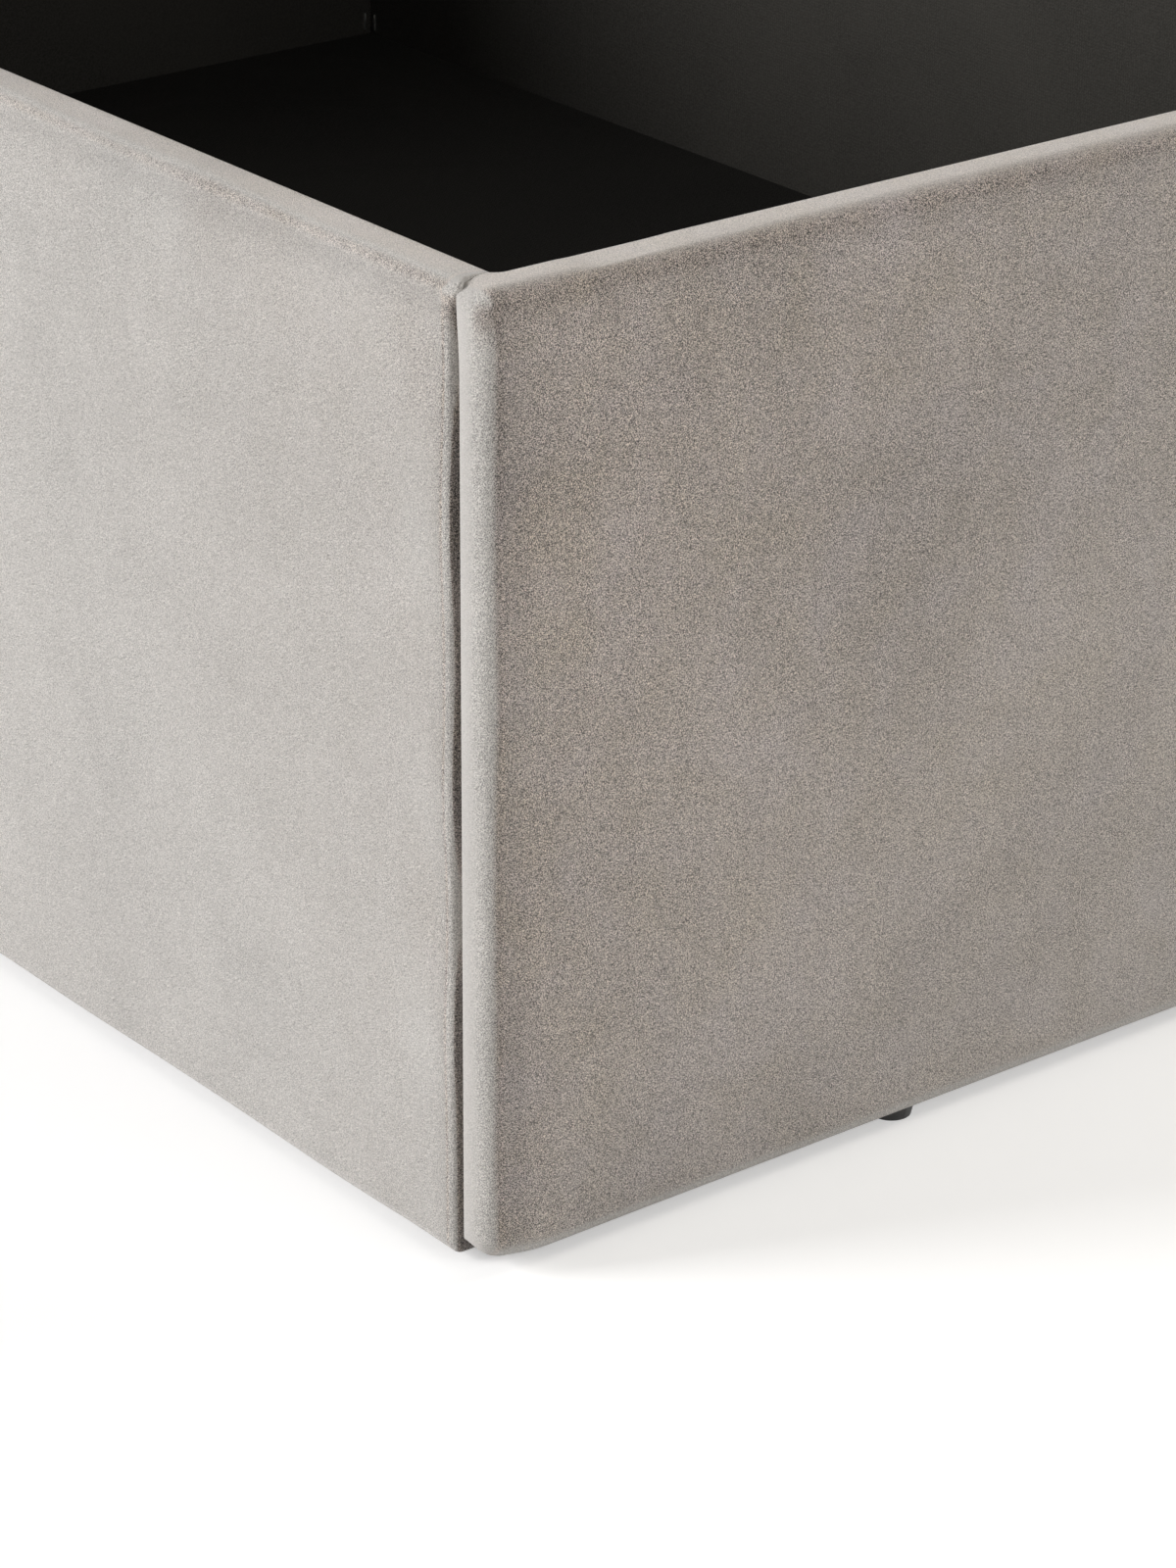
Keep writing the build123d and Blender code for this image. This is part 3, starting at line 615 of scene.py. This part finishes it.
def velvet_panel(side, outward):
    """Velvet drawn tight over its padding: rolled edges, nosed ends, small waves of a stapled edge."""
    low, high = (list(corner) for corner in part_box(f"{side}_cover"))
    across = 1 if outward.y else 0
    along = 1 - across
    outer = high[across] if sum(outward) > 0 else low[across]
    inner = low[across] if sum(outward) > 0 else high[across]
    rim = high[2]
    low[2] -= FOOT_DROP
    high[2] += RIM_RISE
    if along == 0:
        low[0] += END_GAP
        high[0] -= END_GAP
    piece = start_block(f"{side}_panel_velvet", low, high)
    edit(piece)
    if along == 1:
        round_end_corners(piece, across)
    pick_edges(piece, lambda a, b: abs(a[across] - outer) + abs(b[across] - outer) < 0.00002)
    round_edges(LONG_PANEL_ROLL if along == 0 else END_PANEL_ROLL, 7)
    pick_edges(piece, lambda a, b: abs(a[across] - inner) + abs(b[across] - inner) < 0.00002)
    round_edges(PANEL_INNER_ROLL, 4)
    net_panel(piece, along, low, high)
    close_edit()
    smooth_over(piece)
    if along == 1:
        nose_ends(piece, low, high, inner)
    else:
        close_rim_ends(piece, low, high, outer)
    seed = 3.7 * list(PANELS).index(side)

    def drawn_tight(place, normal):
        depth = abs(place[across] - inner) / abs(outer - inner)
        to_end = min(place[along] - low[along], high[along] - place[along])
        to_top, to_bottom = high[2] - place[2], place[2] - low[2]
        run = place[along]
        full = 0.0007 * ramp(min(to_end, to_top, to_bottom), 0.0, 0.165)
        face = 0.0004 * noise.noise(Vector((run * 7, place[2] * 7, seed)))
        pulls = noise.noise(Vector((run * 13, seed, 1.3)))
        pulls += 0.45 * noise.noise(Vector((run * 31, seed, 5.1)))
        top = 0.0010 * pulls * (1 - ramp(to_top, 0.004, 0.05))
        foot = 0.0006 * noise.noise(Vector((run * 15, seed, 9.2))) * (1 - ramp(to_bottom, 0.004, 0.04))
        end = 0.0016 * noise.noise(Vector((place[2] * 17, seed, 4.4))) * (1 - ramp(to_end, 0.004, 0.03))
        return (full + face + top + foot + end) * ramp(depth, 0.2, 0.6)

    # Pile opened just past the rolls (darker, with rows), painted shade in the groove at a long panel's
    # ends and a little before its end rolls, and painted light over the rolled ends, nose and rim.
    def open_pile_and_painted_light(place):
        to_end = min(place[along] - low[along], high[along] - place[along])
        to_top = high[2] - place[2]
        near_face = ramp(abs(place[across] - inner), 0.011, 0.0160)
        open_top = ramp(to_top, 0.003, 0.006) * (1 - ramp(to_top, 0.007, 0.018)) * near_face
        top_painted_light = 0.45 * (1 - ramp(to_top, 0.0015, 0.0050))
        if along == 1:
            open_end = ramp(to_end, 0.0060, 0.0090) * (1 - ramp(to_end, 0.011, 0.023)) * near_face
            # Painted light over the nose and the top roll of an end panel.
            return 0.4 * max(open_end, open_top) - max(1 - ramp(to_end, 0.0036, 0.0082), top_painted_light)
        # Painted shade in the groove where a long panel's end meets the nose.
        groove_painted_shade = (1 - ramp(to_end, 0.0, 0.0006)) * ramp(to_top, 0.005, 0.010)
        turn_painted_shade = 0.25 * ramp(to_end, 0.0028, 0.0042) * (1 - ramp(to_end, 0.0042, 0.012))
        end_painted_light = (1 - ramp(to_end, 0.0025, 0.0041)) * (1 - groove_painted_shade)
        rim_painted_light = top_painted_light * (1 - 0.8 * near_face) * (1 - groove_painted_shade)
        return max(1.3 * groove_painted_shade**2, turn_painted_shade, 0.4 * open_top) - max(end_painted_light, rim_painted_light)

    move_points(piece, drawn_tight)
    hold_rim_down(piece, side, rim)
    mark_pile_and_painted_light(piece, open_pile_and_painted_light)
    shade(piece)
    dress(piece, FINISHES["velvet"], "base")
    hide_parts(f"{side}_cover", f"{side}_padding")


def close_rim_ends(piece, low, high, outer):
    """Lets a long panel's velvet swell at both ends of its rim, to close the groove beside it there."""
    for vertex in piece.data.vertices:
        place = vertex.co
        to_end = min(place.x - low[0], high[0] - place.x)
        swollen = (1 - ramp(to_end, 0.0, 0.006)) * (1 - ramp(abs(place.y - outer), 0.002, 0.007))
        swollen *= 1 - ramp(high[2] - place.z, 0.001, 0.012)
        place.x += math.copysign(0.0038 * swollen, place.x)


def hold_rim_down(piece, side, rim):
    """Keeps the end panels' rims low under the lid's bumpers, and the back rim under the hinge leaves."""
    for vertex in piece.data.vertices:
        if side == "back":
            vertex.co.z = min(vertex.co.z, rim + 0.0005)
        elif side != "front":
            pressed = 1 - ramp(abs(abs(vertex.co.y) - BUMPER_Y), *BUMPER_CLEAR)
            vertex.co.z -= max(0.0, vertex.co.z - rim + 0.0001) * pressed


def nose_ends(piece, low, high, inner):
    """Draws an end panel's velvet round its upright edges in a nose, and squares its rim at the butt."""
    for vertex in piece.data.vertices:
        place = vertex.co
        to_top, to_inner = high[2] - place.z, abs(place.x - inner)
        nose = PANEL_NOSE * (0.75 + 0.25 * ramp(to_top, 0.004, 0.030))
        lifted = 0.0030 * (1 - ramp(place.z - low[2], 0.0, 0.045))
        for end, way in ((low[1], 1), (high[1], -1)):
            to_end = (place.y - end) * way
            place.z += lifted * (1 - ramp(to_end, 0.006, 0.028))
            reach = math.hypot(nose - to_end, nose - to_inner)
            if max(to_end, to_inner) < nose < reach:
                drawn = 1 - nose / reach
                place.y += (nose - to_end) * drawn * way
                place.x += math.copysign((nose - to_inner) * drawn, inner)
            rise, out = PANEL_INNER_ROLL - to_top, PANEL_INNER_ROLL - to_inner
            if 0.008 < to_end < 0.022 and min(rise, out) > 0:
                butted = ramp(to_end, 0.008, 0.011) * (1 - ramp(to_end, 0.016, 0.022))
                filled = (PANEL_INNER_ROLL / max(rise, out) - 1) * butted
                place.z += rise * filled
                place.x -= math.copysign(out * filled, inner)
    piece.data.update()


def crease(u, v, seed, height):
    """Height of a sheet that was folded for packing and has soft creases left in it."""
    drift = noise.noise(Vector((u * 2.2, v * 2.2, seed)))
    line = noise.noise(Vector((u * 3.1 + drift, v * 4.3 - drift, seed + 7)))
    second = noise.noise(Vector((u * 7.5 + drift, v * 6.1, seed + 13)))
    main, small = math.exp(-((line / 0.05) ** 2)), math.exp(-((second / 0.07) ** 2))
    return height * (main + 0.5 * small + 0.5 * drift)


def lining_sheet(name, width, length, place, body, node, seed, height, cloth=WALL_CLOTH):
    """Black lining cloth with a doubled edge and faint creases, laid with its face along a place's Z."""
    piece = start_sheet(name, width, length, 0.016)
    edit(piece)
    bpy.ops.mesh.select_all(action="SELECT")
    bpy.ops.mesh.inset(thickness=0.009, depth=0.0, use_boundary=True)
    close_edit()
    for vertex in piece.data.vertices:
        u, v = vertex.co.x, vertex.co.y
        edge = min(width / 2 - abs(u), length / 2 - abs(v))
        fold = 0.00028 * (1 - ramp(edge, 0.0088, 0.0096))
        free = ramp(edge, 0.01, 0.06)
        vertex.co.z = 0.0001 + fold + max(0.0, crease(u, v, seed, height) * free)
    finish_with(piece, "SOLIDIFY", thickness=0.0003, offset=1.0)
    piece.data.transform(place)
    shade(piece, 40)
    dress(piece, cloth, body)
    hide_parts(node)


def facing(centre, right, up):
    """A place whose X runs to the right and Y up, seen by someone in front of its face."""
    right, up = Vector(right), Vector(up)
    turn = Matrix((right, up, right.cross(up))).transposed().to_4x4()
    return Matrix.Translation(centre) @ turn


def panel_lining(side, outward):
    """Lining on the inside of one panel, stapled over the velvet's hem."""
    low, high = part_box(f"{side}_lining")
    middle = (Vector(low) + Vector(high)) / 2
    across = 1 if outward.y else 0
    along = 1 - across
    velvet_low, velvet_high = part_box(f"{side}_cover")
    middle[across] = velvet_low[across] if sum(outward) > 0 else velvet_high[across]
    inward = -outward
    right = Vector((0, 0, 1)).cross(inward)
    place = facing(middle, right, (0, 0, 1))
    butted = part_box("right_cover" if along == 0 else "back_cover")[0][along]
    width, length = 2 * (butted - 0.0008), high[2] - low[2]
    seed = 21.0 + 5.3 * list(PANELS).index(side)
    lining_sheet(
        f"{side}_wall_lining",
        width,
        length,
        place,
        "base",
        f"{side}_lining",
        seed,
        0.0003,
    )
    return place, width, length


def floor_sheet():
    low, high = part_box("floor_lining")
    place = facing(Vector((0, 0, low[2])), (1, 0, 0), (0, 1, 0))
    lining_sheet(
        "floor_lining_sheet",
        high[0] - low[0],
        high[1] - low[1],
        place,
        "base",
        "floor_lining",
        51.0,
        0.0009,
        SHADED_FLOOR_CLOTH,
    )


# Lid

def lid_cushion():
    """Boxed velvet cover over foam: top sewn to a side band, crowned, drawn in between its corners."""
    high = (LID_LENGTH / 2 - LID_INSET, LID_DEPTH / 2 - LID_INSET, LID_SIDE)
    low = (-high[0], -high[1], LID_LOW)
    piece = start_block("lid_cushion_velvet", low, high)
    edit(piece)
    pick_edges(piece, lambda a, b: abs(a.z - b.z) > 0.001)
    round_edges(LID_CORNER, 8)
    pick_edges(piece, lambda a, b: abs(a.z - LID_SIDE) + abs(b.z - LID_SIDE) < 0.00002)
    round_edges(0.021, 6)
    pick_edges(piece, lambda a, b: abs(a.z - LID_LOW) + abs(b.z - LID_LOW) < 0.00002)
    round_edges(0.005, 3)
    corner_x, corner_y = (side - LID_CORNER * (1 - math.sqrt(0.5)) for side in high[:2])

    def on_corner(place):
        return abs(abs(place.x) - corner_x) + abs(abs(place.y) - corner_y) < 0.0006

    pick_edges(piece, lambda a, b: abs(a.z - b.z) > 0.02 and on_corner(a))
    round_edges(0.0016, 2)
    divide_along(piece, 0, -0.5700, 0.5700, 0.013)
    divide_along(piece, 1, -0.3830, 0.3830, 0.013)
    cut_across(2, [0.366, 0.377, 0.388, LID_SEAM - 0.0022, LID_SEAM, LID_SEAM + 0.0022])
    close_edit()
    for vertex in piece.data.vertices:
        place = vertex.co
        u, v = 2 * place.x / LID_LENGTH, 2 * place.y / LID_DEPTH
        lift = ramp(place.z, LID_SIDE - 0.012, LID_SIDE)
        place.z += LID_CROWN * lift * (1 - u * u) * (1 - v * v) ** 0.8
    held = [v.index for v in piece.data.vertices if v.co.z < LID_LOW + 0.006]
    seam = [v.index for v in piece.data.vertices if abs(v.co.z - LID_SEAM) < 0.0004]
    corners = [
        v.index for v in piece.data.vertices if LID_LOW + 0.004 < v.co.z < LID_SEAM and on_corner(v.co)
    ]
    swell(piece, held + seam, 4.0, 0.006)
    sewn = {tuple(piece.data.vertices[index].co) for index in seam + corners}
    move_points(piece, lambda place, normal: -0.0020 if tuple(place) in sewn else 0.0)
    smooth_over(piece)

    def puckered(place, normal):
        run = place.x if abs(normal.y) > abs(normal.x) else place.y
        near = 1 - ramp(abs(place.z - LID_SEAM), 0.002, 0.02)
        puckers = noise.noise(Vector((run * 42, 2.0, 6.0))) * 0.0006 * near
        broad = noise.noise(place * 6) * 0.0012 * ramp(place.z, LID_SEAM, LID_SIDE)
        pulls = noise.noise(Vector((run * 13, 3.0, 8.0))) * 0.0008
        pulls *= 1 - ramp(place.z, LID_LOW, LID_LOW + 0.03)
        return (puckers + broad + pulls) * ramp(place.z, LID_LOW + 0.001, LID_LOW + 0.005)

    move_points(piece, puckered)
    # Painted shade along the seam of the lid, where the pile also opens.
    mark_pile_and_painted_light(piece, lambda place: 0.8 * (1 - ramp(abs(place.z - LID_SEAM), 0.001, 0.012)))
    set_in_place(piece, LID_OPEN)
    shade(piece)
    dress(piece, FINISHES["velvet"], "lid")
    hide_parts("lid_cover", "lid_foam")


def swell(piece, held, pressure, limit, frames=20):
    """Lets a cover swell over its filling, held along its seams, and keeps each point near its start."""
    scene = bpy.context.scene
    start = [vertex.co.copy() for vertex in piece.data.vertices]
    group = piece.vertex_groups.new(name="held")
    group.add(held, 1.0, "REPLACE")
    take_up(piece)
    bpy.ops.object.modifier_add(type="CLOTH")
    cloth = piece.modifiers[-1]
    cloth.settings.quality = 5
    cloth.settings.mass = 0.35
    cloth.settings.tension_stiffness = 20
    cloth.settings.compression_stiffness = 20
    cloth.settings.bending_stiffness = 2
    cloth.settings.use_pressure = True
    cloth.settings.uniform_pressure_force = pressure
    cloth.settings.vertex_group_mass = "held"
    cloth.settings.effector_weights.gravity = 0
    cloth.collision_settings.use_collision = False
    cloth.point_cache.frame_start, cloth.point_cache.frame_end = 1, frames
    for step in range(1, frames + 1):
        scene.frame_set(step)
    bpy.ops.object.modifier_apply(modifier=cloth.name)
    scene.frame_set(1)
    for vertex, origin in zip(piece.data.vertices, start):
        moved = vertex.co - origin
        if moved.length > limit:
            vertex.co = origin + moved * (limit / moved.length)
    piece.vertex_groups.clear()


def lid_lining():
    """Lining on the underside of the lid, over the hem of the velvet."""
    width, length = (side - 2 * LID_HEM + 2 * LINING_LAP for side in (LID_LENGTH, LID_DEPTH))
    place = LID_OPEN @ facing(Vector((0, 0, LID_LOW)), (1, 0, 0), (0, -1, 0))
    lining_sheet(
        "lid_lining_sheet",
        width,
        length,
        place,
        "lid",
        "lid_lining",
        77.0,
        0.0003,
    )
    return place, width, length


def pull_tab():
    """Webbing folded into a loop and sewn down under the front edge of the lid."""
    radius = TAB_LOOP - TAB_STRAP / 2
    loop_y, loop_z = TAB_FRONT - TAB_REACH + TAB_LOOP, LID_LOW - TAB_LOOP
    middle_z = LID_LOW - TAB_STRAP / 2
    path = [Vector((0, y, middle_z)) for y in even_steps(TAB_FRONT + TAB_HELD, loop_y, 0.004)]
    for step in range(1, 17):
        turn = math.radians(90 + 300 * step / 16)
        path.append(Vector((0, loop_y + radius * math.cos(turn), loop_z + radius * math.sin(turn))))
    bpy.ops.object.select_all(action="DESELECT")
    bpy.ops.mesh.primitive_plane_add(size=1, location=(path[0] + path[1]) / 2)
    piece = bpy.context.object
    piece.name = piece.data.name = "lid_pull_tab_webbing"
    piece.scale = (2 * TAB_HALF, abs(path[1].y - path[0].y), 1)
    set_in_place(piece)
    edit(piece)
    pick_edges(piece, lambda a, b: abs(a.y - path[1].y) + abs(b.y - path[1].y) < 0.00002)
    for before, after in zip(path[1:], path[2:]):
        bpy.ops.mesh.extrude_region_move(TRANSFORM_OT_translate={"value": after - before})
    bpy.ops.mesh.select_all(action="SELECT")
    bpy.ops.mesh.normals_make_consistent(inside=False)
    cut_across(0, even_steps(-TAB_HALF + 0.002, TAB_HALF - 0.002, 0.006))
    close_edit()
    finish_with(piece, "SOLIDIFY", thickness=TAB_STRAP, offset=0.0)
    finish_with(piece, "BEVEL", width=0.0004, segments=2, limit_method="ANGLE")
    set_in_place(piece, LID_OPEN)
    shade(piece, 50)
    dress(piece, FINISHES["webbing"], "lid")
    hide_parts("lid_pull_tab")


# Small fixings and stitches

def staple_pattern():
    """One wire staple, lying flat with its crown along X."""
    piece = start_block("staple", (-0.005, -0.0005, -0.0006), (0.005, 0.0005, 0.0006))
    edit(piece)
    pick_edges(piece, lambda a, b: abs(a.y - b.y) > 0.0005 and a.z > 0 and b.z > 0)
    round_edges(0.0006, 2)
    close_edit()
    return piece


def staple_row(pattern, place, width, length, setback, pitch):
    """Staples along the four edges of a lining, in its own plane."""
    half_u, half_v = width / 2 - setback, length / 2 - setback
    rows = []
    for index, u in enumerate(even_steps(-half_u + 0.02, half_u - 0.02, pitch)):
        for sign in (-1, 1):
            rows.append((u, sign * half_v, 0.0, index + 17 * sign))
    for index, v in enumerate(even_steps(-half_v + 0.02, half_v - 0.02, pitch)):
        for sign in (-1, 1):
            rows.append((sign * half_u, v, math.pi / 2, index + 31 * sign))
    placed = []
    for u, v, turn, seed in rows:
        tilt = turn + 0.16 * noise.noise(Vector((seed * 1.7, width, 0.5)))
        slip = 0.004 * noise.noise(Vector((seed * 2.3, length, 2.5)))
        shift = (u + slip, v, 0.0008) if turn == 0 else (u, v + slip, 0.0008)
        spot = place @ Matrix.Translation(shift) @ Matrix.Rotation(tilt, 4, "Z")
        placed.append(copy_at(pattern, spot))
    return placed


def set_of_fixings(name, pieces, material, body):
    """Joins small fixings into one piece that moves with a body."""
    joined = gather(name, pieces)
    dress(joined, material, body)
    return joined


def cross_recess_shade(radius, depth):
    """The shade in a screw head's driver recess, painted as a shallow dark cross."""
    arm = radius * 0.26
    piece = start_block("cross", (-arm, -arm, -depth), (arm, arm, depth))
    edit(piece)
    bpy.ops.mesh.select_mode(type="FACE")
    bpy.ops.mesh.select_all(action="DESELECT")
    shape = bmesh.from_edit_mesh(piece.data)
    for face in shape.faces:
        face.select_set(abs(face.normal.z) < 0.5)
    bmesh.update_edit_mesh(piece.data)
    bpy.ops.mesh.extrude_faces_move(TRANSFORM_OT_shrink_fatten={"value": radius - arm})
    close_edit()
    return piece


def stitch_pattern():
    piece = start_block("stitch", (-0.0015, -0.00035, -0.0003), (0.0015, 0.00035, 0.0003))
    edit(piece)
    bpy.ops.mesh.select_all(action="SELECT")
    bpy.ops.mesh.bevel(offset=0.0002, segments=2, affect="EDGES")
    close_edit()
    return piece


def lining_staples(wall_places, lid_place):
    """Staples along the edges of the lid's lining and the walls' linings."""
    pattern = staple_pattern()
    walls = []
    for wall_place in wall_places:
        walls += staple_row(pattern, *wall_place, STAPLE_SETBACK, 0.055)
    under = staple_row(pattern, *lid_place, STAPLE_SETBACK, 0.05)
    shade(set_of_fixings("lid_lining_staples", under, FINISHES["zinc_steel"], "lid"), 40)
    shade(set_of_fixings("wall_lining_staples", walls, FINISHES["zinc_steel"], "base"), 40)
    bpy.data.objects.remove(pattern)


def screw_recess_shades():
    """Painted shade of the driver recesses in the screw heads of the hinges and struts."""
    pattern = cross_recess_shade(0.0023, 0.00012)
    on_base, on_lid = [], []
    for x in HINGES_X:
        for offset in HINGE_SCREWS:
            seat = facing(Vector((x + offset, *BASE_LEAF_HEADS)), (-1, 0, 0), (0, 0, 1))
            on_base.append(copy_at(pattern, seat))
            sunk = facing(Vector((x + offset, *LID_LEAF_HEADS)), (1, 0, 0), (0, -1, 0))
            on_lid.append(copy_at(pattern, LID_OPEN @ sunk))
    for sign in (-1, 1):
        for z in STRUT_BASE_HEADS_Z:
            spot = Vector((sign * STRUT_BASE_HEADS_X, STRUT_BASE_HEADS_Y, z))
            on_base.append(copy_at(pattern, facing(spot, (0, sign, 0), (0, 0, 1))))
        for y in STRUT_LID_HEADS_Y:
            spot = Vector((sign * STRUT_LID_HEADS_X, y, STRUT_LID_HEADS_Z))
            on_lid.append(copy_at(pattern, LID_OPEN @ facing(spot, (1, 0, 0), (0, -1, 0))))
    set_of_fixings("lid_screw_recess_shades", on_lid, RECESS_SHADE, "lid")
    set_of_fixings("base_screw_recess_shades", on_base, RECESS_SHADE, "base")
    bpy.data.objects.remove(pattern)


def tab_stitches():
    """Two rows of stitches across the pull tab."""
    pattern = stitch_pattern()
    sewn = []
    for setback in TAB_SEAMS:
        for x in even_steps(-0.0195, 0.0195, 0.0039):
            spot = Matrix.Translation((x, TAB_FRONT + setback, LID_LOW - 0.0017))
            sewn.append(copy_at(pattern, LID_OPEN @ spot))
    shade(set_of_fixings("pull_tab_stitches", sewn, THREAD, "lid"), 40)
    bpy.data.objects.remove(pattern)


def finish_solids():
    """Gives every solid that stays in sight the finish of its slot."""
    for part in frame["record"]["subparts"]:
        node = frame["nodes"][part["node"]]
        finish = FINISHES[part["material_slot"]]
        if not node.material_slots:
            node.data.materials.append(finish)
        for slot in node.material_slots:
            slot.material = finish


# Floor, light and camera

def seen_directly(tree):
    """1 for what the camera sees, straight on or in a reflection, and 0 for what only gives light."""
    path = tree.nodes.new("ShaderNodeLightPath").outputs
    seen = work_out(tree, "MAXIMUM", path["Is Camera Ray"], path["Is Glossy Ray"])
    return work_out(tree, "MAXIMUM", seen, path["Is Transmission Ray"])


def studio_floor():
    """A pale floor that goes over to plain white away from the piece."""
    bpy.ops.object.select_all(action="DESELECT")
    bpy.ops.mesh.primitive_plane_add(size=40, location=(0, 0, 0))
    floor = bpy.context.object
    floor.name = "studio_floor"
    material = bpy.data.materials.new("pale_floor")
    material.use_nodes = True
    tree = material.node_tree
    tree.nodes.clear()
    place = tree.nodes.new("ShaderNodeTexCoord").outputs["Object"]
    far = add_node(tree, "ShaderNodeVectorMath", {0: place}, operation="LENGTH").outputs["Value"]
    strength = times(tree, seen_directly(tree), spread(tree, far, 1.2, 2.6, FLOOR_GLOW, 1.0))
    base = add_node(tree, "ShaderNodeBsdfDiffuse", {"Color": (0.75, 0.75, 0.75, 1)})
    glow = add_node(tree, "ShaderNodeEmission", {"Color": (1, 1, 1, 1), "Strength": strength})
    both = add_node(tree, "ShaderNodeAddShader", {0: base.outputs[0], 1: glow.outputs[0]})
    add_node(tree, "ShaderNodeOutputMaterial", {"Surface": both.outputs[0]})
    floor.data.materials.append(material)


def studio_light():
    """White surroundings that light only a little, and three lamps."""
    world = bpy.data.worlds.new("studio_world")
    bpy.context.scene.world = world
    world.use_nodes = True
    tree = world.node_tree
    background = tree.nodes["Background"]
    background.inputs["Color"].default_value = (1, 1, 1, 1)
    tree.links.new(spread(tree, seen_directly(tree), 0.0, 1.0, 0.15, 1.0), background.inputs["Strength"])
    for name, (spot, target, size, power, tint) in LAMPS.items():
        bpy.ops.object.light_add(type="AREA", location=spot)
        lamp = bpy.context.object
        lamp.name = name
        lamp.data.size = size
        lamp.data.energy = power
        lamp.data.color = tint
        lamp.rotation_euler = (Vector(target) - Vector(spot)).to_track_quat("-Z", "Y").to_euler()


def photo_camera():
    """The camera at the photo's place, close above the near corner."""
    level = math.cos(CAMERA_PITCH)
    ahead = Vector((level * math.cos(CAMERA_YAW), level * math.sin(CAMERA_YAW), -math.sin(CAMERA_PITCH)))
    right = ahead.cross(Vector((0, 0, 1))).normalized()
    up = right.cross(ahead)
    across = right * math.cos(CAMERA_ROLL) + up * math.sin(CAMERA_ROLL)
    upright = up * math.cos(CAMERA_ROLL) - right * math.sin(CAMERA_ROLL)
    bpy.ops.object.camera_add()
    camera = bpy.context.object
    camera.name = "photo_camera"
    camera.data.sensor_fit = "VERTICAL"
    camera.data.sensor_height = SENSOR_HEIGHT
    camera.data.lens = CAMERA_LENS
    camera.data.clip_start, camera.data.clip_end = 0.05, 100
    turn = Matrix((across, upright, -ahead)).transposed().to_4x4()
    camera.matrix_world = Matrix.Translation(CAMERA_PLACE) @ turn
    bpy.context.scene.camera = camera
    bpy.context.scene.view_settings.view_transform = "Standard"


finish_solids()
for panel_side, panel_out in PANELS.items():
    velvet_panel(panel_side, panel_out)
walls_lined = [panel_lining(panel_side, panel_out) for panel_side, panel_out in PANELS.items()]
floor_sheet()
lid_cushion()
lid_lined = lid_lining()
pull_tab()
lining_staples(walls_lined, lid_lined)
screw_recess_shades()
tab_stitches()
studio_floor()
studio_light()
photo_camera()
